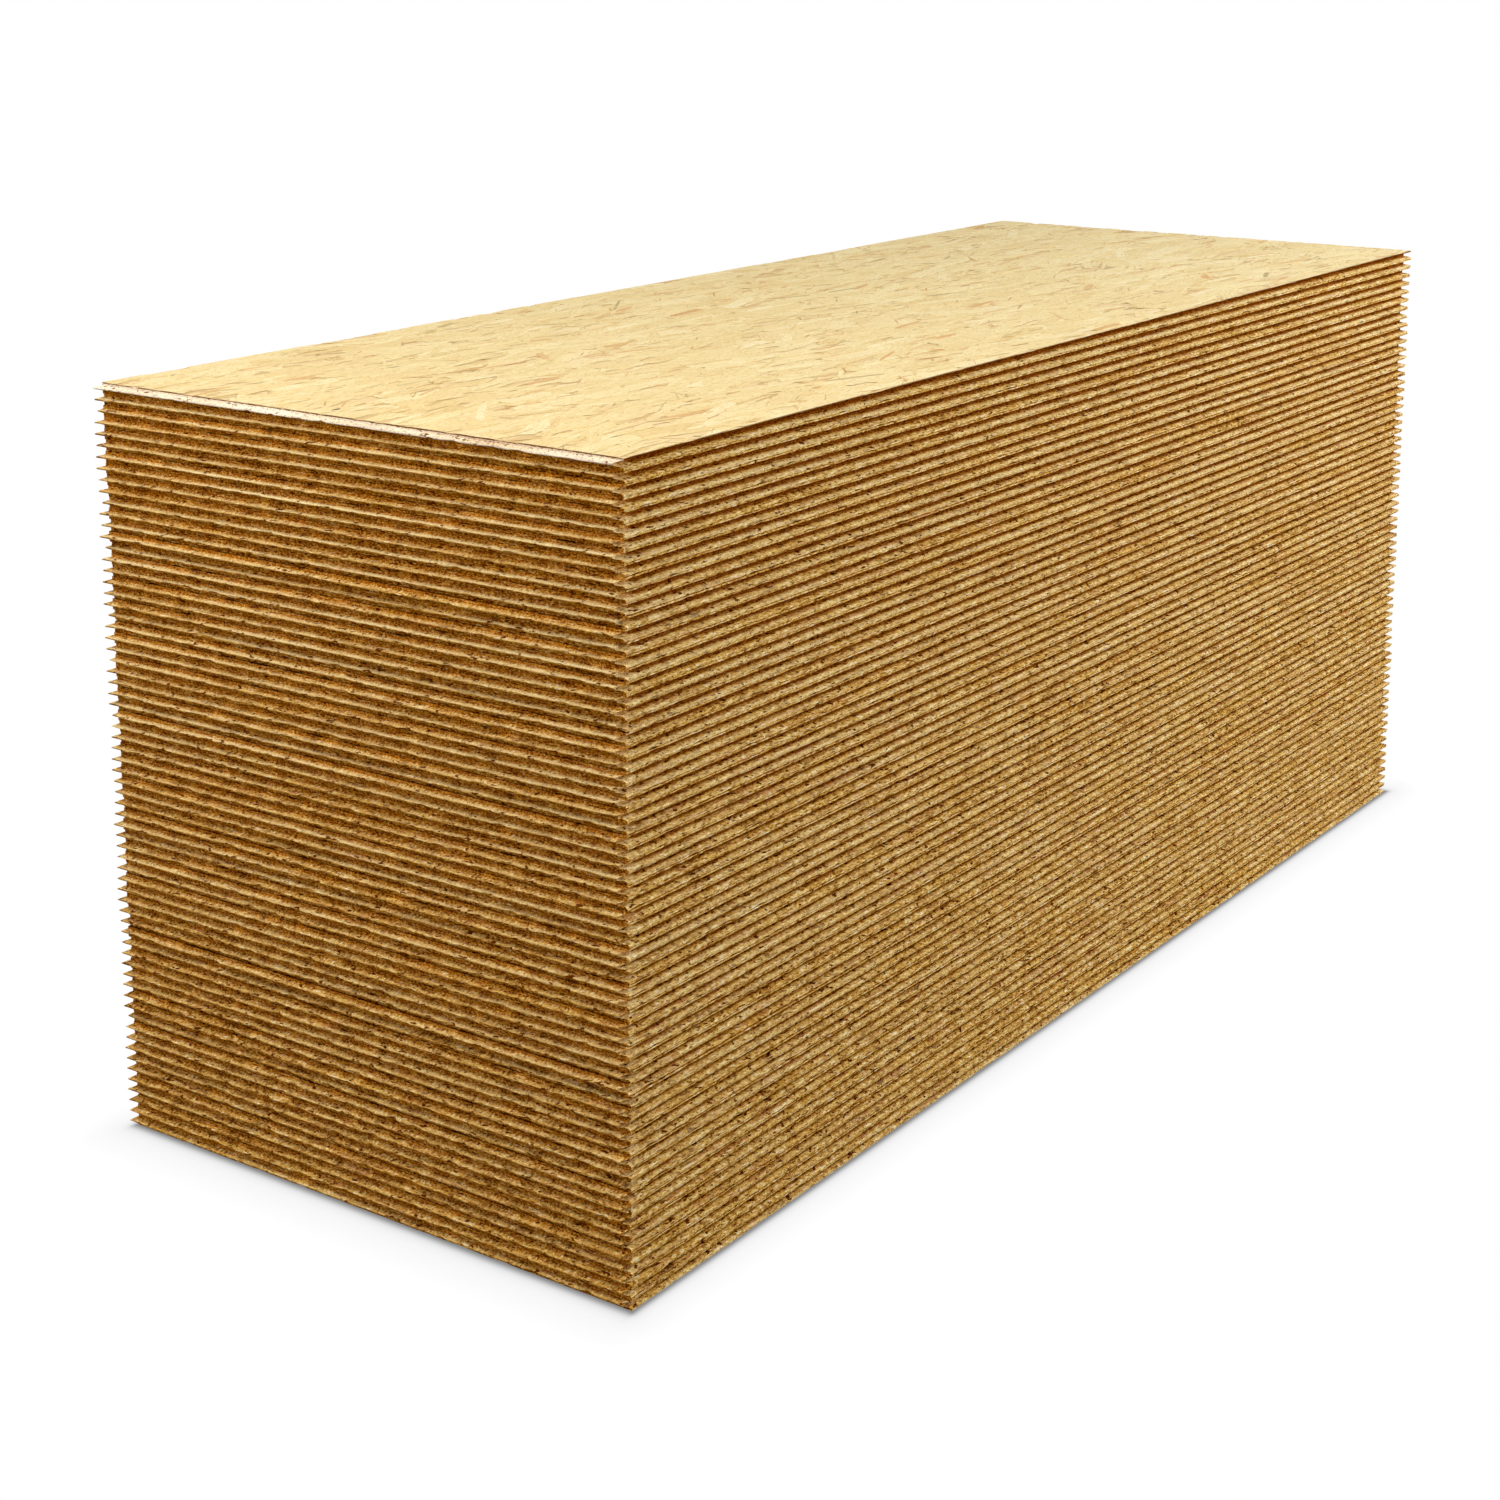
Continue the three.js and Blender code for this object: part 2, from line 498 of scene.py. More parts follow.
    def paint_highlights(
        self,
        add: AddNode,
        reach: NodeSocket,
        height: NodeSocket,
        grooved: Node,
        uppermost: Node,
    ) -> Node:
        """Work out the share of painted highlight on the tongues, the grooves' lips and the open band.

        Args:
            add: Adds a node to the material.
            reach: How far the point stands out of the board's side.
            height: How high it is.
            grooved: 1 on the sides with a groove.
            uppermost: 1 on the open band above the uppermost board's tongues.

        Returns:
            The node whose first output is the share of the highlight colour.
        """
        boards = add("Math", (height, 1 / THICKNESS), operation="MULTIPLY")
        level = add("Math", [boards], operation="FRACT")
        # On the grooved sides the lower lip gets the full painted highlight and the upper lip only a
        # share.
        lip = add("MapRange", (level, *self.lip_levels, grooved, self.upper_lip))
        # The painted highlight fades out on the tongue's upright tip.
        tip = add("MapRange", (reach, self.tip_highlight_end, self.reaches[1], 1.0, 0.0))
        highlight_share: Any = 0.0
        for highlight, where in (
            (self.tongue_highlight, tip),
            (self.lip_highlight, lip),
            (self.open_highlight, uppermost),
        ):
            # Each painted highlight grows from the bottom of the stack to its top.
            heights = (height, 0.0, self.stack_height)
            share = add("MapRange", (*heights, highlight.low, highlight.high))
            here = add("Math", (share, where), operation="MULTIPLY", use_clamp=True)
            shown = add("MapRange", (reach, highlight.start, highlight.full, 0.0, here))
            highlight_share = add("Math", (shown, highlight_share), operation="MAXIMUM")
        return highlight_share


@dataclass(frozen=True)
class FaceFinish:
    """Pressed OSB face: the pine strands seen flat, a little darker than a single fresh one."""

    name: str = "osb_pressed_face"
    roughness: float = 0.7
    strand: XYZ = (13 * MM, 85 * MM, 12 * MM)
    tones: Stops = ((0.0, "#CFAE72"), (0.5, "#DFC48C"), (1.0, "#E8D3A0"))

    def build(self) -> Material:
        """Make the material.

        Returns:
            A material that reads Object coordinates.
        """
        material = bpy.data.materials.new(self.name)
        add = empty_tree(material)
        place = add("TexCoord").outputs["Object"]
        strands = [1 / length for length in self.strand]
        scaled = add("VectorMath", (place, strands), operation="MULTIPLY")
        cells = add("TexVoronoi", {"Vector": scaled, "Scale": 1.0})
        tone = add("SeparateColor", [cells.outputs["Color"]])
        colour = add("ValToRGB", [tone], self.tones)
        finish = {"Base Color": colour, "Roughness": self.roughness, "IOR": WOOD_IOR}
        add("OutputMaterial", {"Surface": add("BsdfPrincipled", finish)})
        return material


@dataclass(frozen=True)
class StrandFinish:
    """Pine strand, sliced along the grain and pressed flat: pale, matt, with fine grain lines."""

    GRAIN = "grain"
    TONE = "tone"

    name: str = "pine_strand"
    roughness: float = 0.65
    line: XYZ = (3 * MM, 26 * MM, 1.0)  # a grain line, alike all through the thin strand
    line_detail: float = 4.0
    line_strength: float = 1.6
    specks: Marks = Marks((2.4 * MM, 8 * MM, 1.0), 0.57, 0.72, "#C8A25E", 3.0)
    tones: Stops = ((0.0, "#CDAE6C"), (0.35, "#DFC686"), (0.7, "#E7D397"), (1.0, "#EFE0AE"))
    orange: str = "#C98B4E"
    grey: str = "#9C9266"

    def build(self) -> Material:
        """Make the material.

        Returns:
            A material that reads the strand's own grain and tone attributes.
        """
        material = bpy.data.materials.new(self.name)
        add = empty_tree(material)
        grain = add("Attribute", attribute_name=self.GRAIN).outputs["Vector"]
        tone = add("Attribute", attribute_name=self.TONE).outputs["Color"]
        parts = add("SeparateColor", [tone]).outputs
        lines = scatter(add, grain, self.line, self.line_detail)
        shifted = add("Math", (parts[0], -self.line_strength / 2), operation="ADD")
        mixed = add("Math", (lines, self.line_strength, shifted), operation="MULTIPLY_ADD")
        colour = add("ValToRGB", [mixed], self.tones)
        for share, stain in ((parts[1], self.orange), (parts[2], self.grey)):
            colour = add("Mix", {"Factor": share, "A": colour, "B": linear(stain)}, **BLEND)
        colour = self.specks.stain(add, grain, colour)
        finish = {"Base Color": colour, "Roughness": self.roughness, "IOR": WOOD_IOR}
        add("OutputMaterial", {"Surface": add("BsdfPrincipled", finish)})
        return material


# ---- Mesh helpers ------------------------------------------------


def make_active(obj: Object) -> None:
    """Select one object alone and make it the active one.

    Args:
        obj: The object.
    """
    bpy.ops.object.select_all(action="DESELECT")
    obj.select_set(True)
    bpy.context.view_layer.objects.active = obj


def copy_of(obj: Object) -> Object:
    """Copy an object, with a mesh of its own.

    Args:
        obj: The object to copy.

    Returns:
        The copy, in the scene.
    """
    copy = obj.copy()
    copy.data = obj.data.copy()
    bpy.context.scene.collection.objects.link(copy)
    return copy


class Element(Enum):
    """The kinds of mesh element, with the name of each kind's list in a mesh."""

    VERT = "verts"
    EDGE = "edges"
    FACE = "faces"


def select(element: Element, wanted: Callable[[Any], bool]) -> None:
    """Select, in edit mode, the elements of one kind for which a test holds and no others.

    Args:
        element: The kind of element.
        wanted: The test.
    """
    bpy.ops.mesh.select_mode(type=element.name)
    bpy.ops.mesh.select_all(action="DESELECT")
    mesh = bmesh.from_edit_mesh(bpy.context.edit_object.data)
    for one in getattr(mesh, element.value):
        one.select_set(wanted(one))
    bmesh.update_edit_mesh(bpy.context.edit_object.data)


def cut_across(axis: int, place: float, keep_side: int = 0) -> None:
    """Cut the whole mesh, in edit mode, along a plane across one axis.

    Args:
        axis: The axis, 0 for X, 1 for Y and 2 for Z.
        place: Where the plane crosses the axis.
        keep_side: -1 or 1 to keep only what lies below or above the plane, or 0 to keep all.
    """
    point, normal = Vector(), Vector()
    point[axis], normal[axis] = place, -keep_side or 1
    bpy.ops.mesh.select_all(action="SELECT")
    bpy.ops.mesh.bisect(plane_co=point, plane_no=normal, clear_outer=keep_side != 0)


def join(pieces: Sequence[Object], name: str) -> Object:
    """Join meshes in one.

    Args:
        pieces: The objects to join; the first is kept.
        name: The name that it gets.

    Returns:
        The joined object.
    """
    make_active(pieces[0])
    for piece in pieces:
        piece.select_set(True)
    if len(pieces) > 1:
        bpy.ops.object.join()
    pieces[0].name = pieces[0].data.name = name
    return pieces[0]


def ride(obj: Object, nodes: Iterable[str] = ()) -> None:
    """Tie a finished piece to the stack, in the place of the CAD nodes that it stands for.

    Args:
        obj: The piece.
        nodes: The CAD nodes that it replaces.
    """
    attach(obj, BODY)
    if nodes:
        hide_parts(*nodes)
    LOG.info("%s: %d faces", obj.name, len(obj.data.polygons))


# ---- Boards ------------------------------------------------------


class Zone(Enum):
    """The parts of a board's edges that wear in their own way."""

    EDGE = "all four sides"
    LONG_TIP = "tip of the long side's tongue"
    SHORT_TIP = "tip of the short side's tongue"


@dataclass
class MillingPass:
    """The bar that one pass of the milling machine leaves: tongue on one side, groove opposite.

    The arc of the tongue's tip has three facets, and the middle one is upright.
    """

    thickness: float = THICKNESS
    tongue_length: float = 7 * MM
    tongue_root: float = 5.6 * MM
    tip_radius: float = 1.1 * MM
    groove_mouth: float = 6.2 * MM
    groove_floor: float = 2.8 * MM
    groove_depth: float = 8 * MM
    lead_in_height: float = 0.8 * MM
    lead_in_depth: float = 1.8 * MM
    tip_facet: float = 30.0  # degrees from the tip's middle to the end of its middle facet

    @property
    def middle(self) -> float:
        """Height of the tongue's and the groove's middle."""
        return self.thickness / 2

    @property
    def opening(self) -> float:
        """Height of the groove where it opens to the side, over its eased lips."""
        return self.groove_mouth + 2 * self.lead_in_height

    def build(self, width: float, run: float, axis: int) -> Object:
        """Mill one bar, its underside at height 0 and its middle over the origin.

        Args:
            width: The body's width between its tongue and its grooved side.
            run: The bar's length.
            axis: The axis across which it is milled, 0 for X and 1 for Y.

        Returns:
            The bar.
        """
        size = (width, run) if axis == 0 else (run, width)
        bpy.ops.mesh.primitive_cube_add(
            size=1, location=(0, 0, self.middle), scale=(*size, self.thickness)
        )
        bar = bpy.context.object
        bpy.ops.object.transform_apply()
        bpy.ops.object.mode_set(mode="EDIT")
        for height in (self.tongue_root, self.opening):
            cut_across(2, self.middle - height / 2)
            cut_across(2, self.middle + height / 2)
        facet = math.radians(self.tip_facet)
        flat_tip = 2 * self.tip_radius * math.sin(facet)
        for side, start, end, reach in (
            (-1, self.tongue_root, 2 * self.tip_radius, self.tongue_length - self.tip_radius),
            (-1, 2 * self.tip_radius, flat_tip, self.tip_radius * math.cos(facet)),
            (1, self.opening, self.groove_mouth, -self.lead_in_depth),
            (1, self.groove_mouth, self.groove_floor, self.lead_in_depth - self.groove_depth),
        ):
            self.step(axis, side, start, end, reach)
        bpy.ops.object.mode_set(mode="OBJECT")
        return bar

    def step(self, axis: int, side: int, start: float, end: float, reach: float) -> None:
        """Extrude a band along the middle of one side, tapered towards its end.

        Args:
            axis: The axis across which the bar is milled.
            side: -1 for the tongue's side and 1 for the groove's.
            start: The band's height.
            end: Height of the face in which it ends.
            reach: How far that face moves, outward where positive.
        """
        select(
            Element.FACE,
            lambda face: face.normal[axis] * side > FACING
            and abs(face.calc_center_median().z - self.middle) < start / 2,
        )
        move = Vector()
        move[axis] = side * reach
        bpy.ops.mesh.extrude_region_move(TRANSFORM_OT_translate={"value": move})
        bpy.ops.transform.resize(value=(1, 1, end / start), center_override=(0, 0, self.middle))


@dataclass
class BoardBlank:
    """One milled board with finely divided edges, from which all boards are copied."""

    length: float = 1840 * MM
    width: float = 675 * MM
    passes: MillingPass = field(default_factory=MillingPass)
    band: float = 20 * MM  # width of the finely divided band around each face
    station: float = 10 * MM  # length of the parts into which a side is divided
    first_parts: int = 5  # a side is divided twice, because one step makes 100 cuts at most
    slack: float = 0.05 * MM  # by how much a place may be off where faces are picked by place
    weld: float = 0.005 * MM  # corners nearer to one another than this are made one
    flat_angle: float = 0.5  # degrees between two faces that are made one

    def build(self, materials: Finishes) -> Object:
        """Mill the board and divide its edges.

        Args:
            materials: The finish of the faces and that of the edges.

        Returns:
            The blank, its underside at height 0 and its body's middle over the origin.
        """
        spare = 4 * self.passes.tongue_length
        blank = self.passes.build(self.width, self.length + spare, axis=0)
        other = self.passes.build(self.length, self.width + spare, axis=1)
        make_active(blank)
        overlap = blank.modifiers.new("both_passes", "BOOLEAN")
        overlap.operation = "INTERSECT"
        overlap.solver = "EXACT"
        overlap.object = other
        bpy.ops.object.modifier_apply(modifier=overlap.name)
        bpy.data.objects.remove(other)
        bpy.ops.object.mode_set(mode="EDIT")
        bpy.ops.mesh.select_all(action="SELECT")
        bpy.ops.mesh.remove_doubles(threshold=self.weld)
        bpy.ops.mesh.dissolve_limited(angle_limit=math.radians(self.flat_angle))
        self.divide_edges()
        bpy.ops.object.mode_set(mode="OBJECT")
        blank.name = "board_blank"
        self.dress(blank, materials)
        return blank

    def inner(self) -> tuple[float, float]:
        """Return half the width and half the length of the undivided middle."""
        return self.width / 2 - self.band, self.length / 2 - self.band

    def is_inner(self, point: Vector) -> bool:
        """Tell whether a point lies in or on the undivided middle."""
        return all(abs(point[axis]) < half + self.slack for axis, half in enumerate(self.inner()))

    def divide_edges(self) -> None:
        """Divide the board's edges, and leave the middle of its two faces whole."""
        for axis, half in enumerate(self.inner()):
            cut_across(axis, -half)
            cut_across(axis, half)
        select(
            Element.FACE,
            lambda face: abs(face.normal.z) > FACING and self.is_inner(face.calc_center_median()),
        )
        bpy.ops.mesh.delete(type="ONLY_FACE")
        for axis, half in enumerate(self.inner()):
            span = 2 * half
            for parts in (self.first_parts, round(span / self.station / self.first_parts)):
                select(
                    Element.EDGE,
                    lambda edge: abs(abs((edge.verts[1].co - edge.verts[0].co)[axis]) - span)
                    < self.slack,
                )
                bpy.ops.mesh.subdivide(number_cuts=parts - 1)
                span /= parts
        for above in (False, True):
            select(
                Element.EDGE,
                lambda edge: edge.is_boundary
                and (edge.verts[0].co.z > self.passes.middle) == above,
            )
            bpy.ops.mesh.edge_face_add()
        bpy.ops.mesh.select_all(action="SELECT")
        bpy.ops.mesh.normals_make_consistent(inside=False)

    def dress(self, blank: Object, materials: Finishes) -> None:
        """Give each face its finish, note its cut and its reach, and mark the zones of wear.

        Args:
            blank: The board.
            materials: The finish of the faces and that of the edges.
        """
        mesh = blank.data
        for surface in Surface:
            mesh.materials.append(materials[surface])
        order = list(Surface)
        normals = np.array([face.normal for face in mesh.polygons], np.float32)
        cut = mesh.attributes.new(EdgeFinish.CUT, "FLOAT_VECTOR", "FACE")
        cut.data.foreach_set("vector", normals.ravel())
        reach = mesh.attributes.new(EdgeFinish.REACH, "FLOAT", "CORNER")
        # Flat faces in the joints between boards get the painted shade of a groove's floor.
        groove_floor_reach = -self.passes.groove_depth
        for face in mesh.polygons:
            flat = abs(face.center.z - self.passes.middle) > self.passes.middle - self.slack
            inner = flat and self.is_inner(face.center)
            face.material_index = order.index(Surface.FACE if inner else Surface.EDGE)
            for corner in face.loop_indices:
                point = mesh.vertices[mesh.loops[corner].vertex_index].co
                reach.data[corner].value = groove_floor_reach if flat else self.reach(point)
        for zone, holds in self.zones().items():
            members = [vertex.index for vertex in mesh.vertices if holds(vertex.co)]
            blank.vertex_groups.new(name=zone.name).add(members, 1.0, "REPLACE")

    def reach(self, point: Vector) -> float:
        """Work out how far a point stands out of the board's side, or how deep in a groove.

        Args:
            point: The point.

        Returns:
            The distance in metres, negative in a groove.
        """
        half_width, half_length = self.width / 2, self.length / 2
        out = max(-point.x - half_width, -point.y - half_length)
        behind = min(half_width - point.x, half_length - point.y)
        in_opening = abs(point.z - self.passes.middle) < self.passes.opening / 2 - self.slack
        if out > 0:
            return out
        if in_opening and behind < self.passes.groove_depth + self.slack:
            return -behind
        return 0.0

    def zones(self) -> dict[Zone, Callable[[Vector], bool]]:
        """Return, for each zone that wears in its own way, the test for a point in it."""
        rounded = self.passes.tongue_length - self.passes.tip_radius - self.slack
        return {
            Zone.EDGE: lambda point: not self.is_inner(point),
            Zone.LONG_TIP: lambda point: point.x < -self.width / 2 - rounded,
            Zone.SHORT_TIP: lambda point: point.y < -self.length / 2 - rounded,
        }


class Direction(Enum):
    """The ways in which wear takes wood away, under Blender's names for them."""

    NORMAL = "straight into the surface"
    X = "inward from the long tongue"
    Y = "inward from the short tongue"


@dataclass(frozen=True)
class Wear:
    """One way in which the edges are worn: a noise that takes wood away.

    Attributes:
        name: What it is called.
        zone: Where it acts.
        direction: Which way the wood goes.
        depth: How far it goes at most.
        size: Size of a dent.
        start: Level of the noise at which a dent begins, or 0 where all is worn.
    """

    name: str
    zone: Zone
    direction: Direction
    depth: float
    size: float
    start: float = 0.0


@dataclass
class Roughening:
    """The raw, chipped and broken state of the milled edges, as displacement."""

    kinds: tuple[Wear, ...] = (
        Wear("ragged", Zone.EDGE, Direction.NORMAL, 0.35 * MM, 5 * MM),
        Wear("chipped", Zone.EDGE, Direction.NORMAL, 0.9 * MM, 9 * MM, 0.66),
        Wear("broken_long_tongue", Zone.LONG_TIP, Direction.X, 2.6 * MM, 16 * MM, 0.60),
        Wear("broken_short_tongue", Zone.SHORT_TIP, Direction.Y, 2.6 * MM, 16 * MM, 0.60),
    )
    rise: float = 0.1  # from where a dent begins to where it is deepest
    detail: int = 1  # how many finer sizes are added to a dent
    textures: dict[str, Texture] = field(default_factory=dict)

    def build(self) -> None:
        """Make the texture that drives each kind of wear."""
        for wear in self.kinds:
            noise = bpy.data.textures.new(wear.name, "CLOUDS")
            noise.noise_scale = wear.size
            noise.noise_depth = self.detail
            if wear.start:
                noise.use_color_ramp = True
                low, high = noise.color_ramp.elements
                low.position, low.color = wear.start, (0, 0, 0, 1)
                high.position, high.color = wear.start + self.rise, (1, 1, 1, 1)
            self.textures[wear.name] = noise

    def apply(self, board: Object) -> None:
        """Roughen one board and keep the result in its mesh.

        Args:
            board: The board, with its zones as vertex groups.
        """
        make_active(board)
        for wear in self.kinds:
            modifier = board.modifiers.new(wear.name, "DISPLACE")
            modifier.texture = self.textures[wear.name]
            modifier.texture_coords = "LOCAL"
            modifier.vertex_group = wear.zone.name
            modifier.direction = wear.direction.name
            modifier.mid_level = 0.0
            modifier.strength = -wear.depth if wear.direction is Direction.NORMAL else wear.depth
            bpy.ops.object.modifier_apply(modifier=wear.name)


@dataclass
class BoardStack:
    """All boards, each laid where its CAD board lies."""

    blank: BoardBlank = field(default_factory=BoardBlank)
    roughening: Roughening = field(default_factory=Roughening)
    sink: float = 0.7 * MM  # how far the top board's face lies under its strands

    def build(self, materials: Finishes) -> None:
        """Make one piece for each CAD node.

        Args:
            materials: The finish of the faces and that of the edges.
        """
        self.roughening.build()
        blank = self.blank.build(materials)
        for node in sorted(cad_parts, key=lambda name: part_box(name)[0].z):
            boards = [self.lay(blank, place, node) for place in self.places(node)]
            piece = join(boards, node.replace("panel", "board"))
            piece.vertex_groups.clear()
            ride(piece, [node])
        bpy.data.objects.remove(blank)

    def places(self, node: str) -> list[Vector]:
        """Find where the boards of one CAD node lie.

        Args:
            node: The node's name.

        Returns:
            For each board the middle of its body and the height of its underside.
        """
        passes = self.blank.passes
        reach = Vector((self.blank.width / 2, self.blank.length / 2, 0))
        low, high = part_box(node)
        points = np.array([vertex.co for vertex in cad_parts[node].data.vertices])
        places = []
        for level in range(round((high.z - low.z) / passes.thickness)):
            bottom = low.z + level * passes.thickness
            off_middle = np.abs(points[:, 2] - bottom - passes.middle)
            lips = points[off_middle < passes.opening / 2 + self.blank.slack]
            places.append(Vector((lips[:, 0].max(), lips[:, 1].max(), bottom)) - reach)
        return places

    def lay(self, blank: Object, place: Vector, node: str) -> Object:
        """Copy the blank to one place and roughen its edges.

        Args:
            blank: The board to copy.
            place: Where the board goes.
            node: The CAD node that it is part of.

        Returns:
            The new board.
        """
        board = copy_of(blank)
        make_active(board)
        bpy.ops.object.mode_set(mode="EDIT")
        if node == TOP_NODE:
            face = self.blank.passes.thickness - self.blank.slack
            select(Element.FACE, lambda one: one.calc_center_median().z > face)
            board.active_material_index = list(Surface).index(Surface.FACE)
            bpy.ops.object.material_slot_assign()
            bpy.ops.transform.translate(value=(0, 0, -self.sink))
        bpy.ops.mesh.select_all(action="SELECT")
        bpy.ops.transform.translate(value=place)
        bpy.ops.object.mode_set(mode="OBJECT")
        self.roughening.apply(board)
        return board


# ---- Strands of the upper face -----------------------------------


@dataclass(frozen=True)
class StrandKind:
    """One kind of strand on the face.

    Attributes:
        share: Its share of all strands.
        length: Least and greatest length.
        width: Least and greatest width.
        spread: Standard deviation of their turn from the board's length, in radians.
        tone: Mean and spread of how pale it is, from 0 to 1.
        orange: Least and greatest share of the orange stain.
        grey: Least and greatest share of the grey stain.
    """

    share: float
    length: Range
    width: Range
    spread: float
    tone: tuple[float, float]
    orange: Range = (0.0, 0.08)
    grey: Range = (0.0, 0.0)


@dataclass
class StrandBlanks:
    """Strands at unit size, each with its own outline, from which all others are copied."""

    outlines: int = 16
    points: int = 8
    diagonal: float = 0.5  # how far across and along the outline its four corners lie at least
    corner: float = 1.25  # by how much those are drawn out
    stray: float = 0.16  # how far its points stray from an even outline

    def build(self, material: Material) -> list[Object]:
        """Cut the strands.

        Args:
            material: Their finish.

        Returns:
            The strands, each about 2 wide along X, 2 long along Y and 1 thick.
        """
        blanks = []
        for number in range(self.outlines):
            bpy.ops.object.select_all(action="DESELECT")
            bpy.ops.mesh.primitive_circle_add(vertices=self.points, fill_type="NGON")
            blank = bpy.context.object
            blank.name = f"strand_outline_{number:02d}"
            blank.data.materials.append(material)
            bpy.ops.object.mode_set(mode="EDIT")
            select(Element.VERT, lambda vertex: min(abs(vertex.co.x), abs(vertex.co.y)) > self.diagonal)
            centre = {"center_override": (0, 0, 0)}
            bpy.ops.transform.resize(value=(self.corner, self.corner, 1), **centre)
            bpy.ops.mesh.select_all(action="SELECT")
            bpy.ops.transform.vertex_random(offset=self.stray, seed=number)
            bpy.ops.transform.resize(value=(1, 1, 0), **centre)
            bpy.ops.mesh.extrude_region_move(TRANSFORM_OT_translate={"value": (0, 0, 1)})
            bpy.ops.mesh.select_all(action="SELECT")
            bpy.ops.mesh.normals_make_consistent(inside=False)
            bpy.ops.object.mode_set(mode="OBJECT")
            blank.data.attributes.new(StrandFinish.GRAIN, "FLOAT_VECTOR", "POINT")
            blank.data.attributes.new(StrandFinish.TONE, "FLOAT_COLOR", "POINT")
            blanks.append(blank)
        return blanks


@dataclass
class StrandMat:
    """The pressed pine strands that make the face of the top board."""

    tip_flat: float = 0.147 * MM  # by how much the solid's faceted tongue tip is short of round
    count: int = 4600
    batch: int = 200  # strands that are joined at a time, because joining all at once is slow
    kinds: tuple[StrandKind, ...] = (  # broad, narrow, orange and grey strands, and splinters
        StrandKind(0.48, (60 * MM, 125 * MM), (8 * MM, 26 * MM), 0.22, (0.66, 0.11)),
        StrandKind(0.26, (30 * MM, 80 * MM), (3 * MM, 9 * MM), 0.36, (0.60, 0.16)),
        StrandKind(0.08, (25 * MM, 90 * MM), (4 * MM, 12 * MM), 0.30, (0.5, 0.15), (0.15, 0.6)),
        StrandKind(
            0.02, (40 * MM, 90 * MM), (3 * MM, 8 * MM), 0.30, (0.4, 0.1), (0.0, 0.1), (0.2, 0.7)
        ),
        StrandKind(
            0.16, (7 * MM, 32 * MM), (0.8 * MM, 2.2 * MM), 0.50, (0.2, 0.15), (0.1, 0.7), (0.0, 0.4)
        ),
    )
    narrow: float = 1.5  # above 1, narrow strands are more common than broad ones
    splinter: float = 2.5 * MM  # strands narrower than this lie uppermost
    slack: float = 0.05 * MM  # how far those lie under the face, so that no two are level
    thickness: float = 0.2 * MM
    depth: float = 0.65 * MM  # of the layer in which the strands lie
    grain_step: XYZ = (0.11, 0.37, 0.0)  # between the grain patterns of two strands
    seed: int = 11

    def build(self, finish: Material, sawn: Material) -> None:
        """Lay the strands over the face, join them and saw them off at the board's sides.

        Args:
            finish: The strands' finish.
            sawn: The finish of their sawn ends.
        """
        draw = random.Random(self.seed)
        blanks = StrandBlanks().build(finish)
        low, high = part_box(TOP_NODE)
        low += Vector((1, 1, 0)) * (MillingPass.tongue_length - self.tip_flat)
        sheets = []
        for first in range(0, self.count, self.batch):
            batch = range(first, first + self.batch)
            strands = [self.lay(draw, number, blanks, low, high) for number in batch]
            sheets.append(join(strands, f"strands_{first}"))
        for blank in blanks:
            bpy.data.objects.remove(blank)
        mat = join(sheets, "top_strands")
        mat.data.materials.append(sawn)
        mat.active_material_index = len(mat.data.materials) - 1
        bpy.ops.object.mode_set(mode="EDIT")
        for axis in (0, 1):
            cut_across(axis, low[axis], keep_side=1)
            cut_across(axis, high[axis], keep_side=-1)
        select(Element.EDGE, lambda edge: edge.is_boundary)
        bpy.ops.mesh.edge_face_add()
        bpy.ops.object.material_slot_assign()
        bpy.ops.object.mode_set(mode="OBJECT")
        ride(mat)

    def lay(
        self,
        draw: random.Random,
        number: int,
        blanks: Sequence[Object],
        low: Vector,
        high: Vector,
    ) -> Object:
        """Lay one strand on the face.

        Args:
            draw: The source of random numbers.
            number: The strand's number.
            blanks: The strands to copy from.
            low: The lowest corner of the board's body.
            high: Its highest corner.

        Returns:
            The strand.
        """
        kind = draw.choices(self.kinds, [one.share for one in self.kinds])[0]
        length = draw.uniform(*kind.length)
        width = kind.width[0] + (kind.width[1] - kind.width[0]) * draw.random() ** self.narrow
        uppermost = kind.width[1] < self.splinter
        cover = draw.random() * (self.slack if uppermost else self.depth - self.thickness)
        across, along = (draw.uniform(low[axis], high[axis]) for axis in (0, 1))
        place = Vector((across, along, high.z - cover - self.thickness))
        turn = draw.gauss(0, kind.spread)
        tone = min(1.0, max(0.0, draw.gauss(*kind.tone)))
        stain = (tone, draw.uniform(*kind.orange), draw.uniform(*kind.grey), 1.0)
        strand = copy_of(draw.choice(blanks))
        mesh = strand.data
        mesh.transform(Matrix.Diagonal((width / 2, length / 2, self.thickness, 1)))
        for vertex in mesh.vertices:
            grain = mesh.attributes[StrandFinish.GRAIN].data[vertex.index]
            grain.vector = vertex.co + number * Vector(self.grain_step)
            mesh.attributes[StrandFinish.TONE].data[vertex.index].color = stain
        mesh.transform(Matrix.Translation(place) @ Matrix.Rotation(turn, 4, "Z"))
        return strand


# ---- Camera, light and floor -------------------------------------


@dataclass(frozen=True)
class Softbox:
    """A square studio light.

    Attributes:
        name: What it is called.
        place: Where it hangs.
        aim: The point that it faces.
        size: Length of its sides.
        power: Its power in watts.
        colour: The light's colour.
    """

    name: str
    place: XYZ
    aim: XYZ
    size: float
    power: float
    colour: str = WHITE

    def build(self) -> None:
        """Hang the light."""
        turn = (Vector(self.aim) - Vector(self.place)).to_track_quat("-Z", "Y")
        bpy.ops.object.light_add(type="AREA", location=self.place, rotation=turn.to_euler())
        light = bpy.context.object
        light.name = self.name
        light.visible_camera = False
        light.data.shape = "SQUARE"
        light.data.size = self.size
        light.data.energy = self.power
        light.data.color = linear(self.colour)[:3]


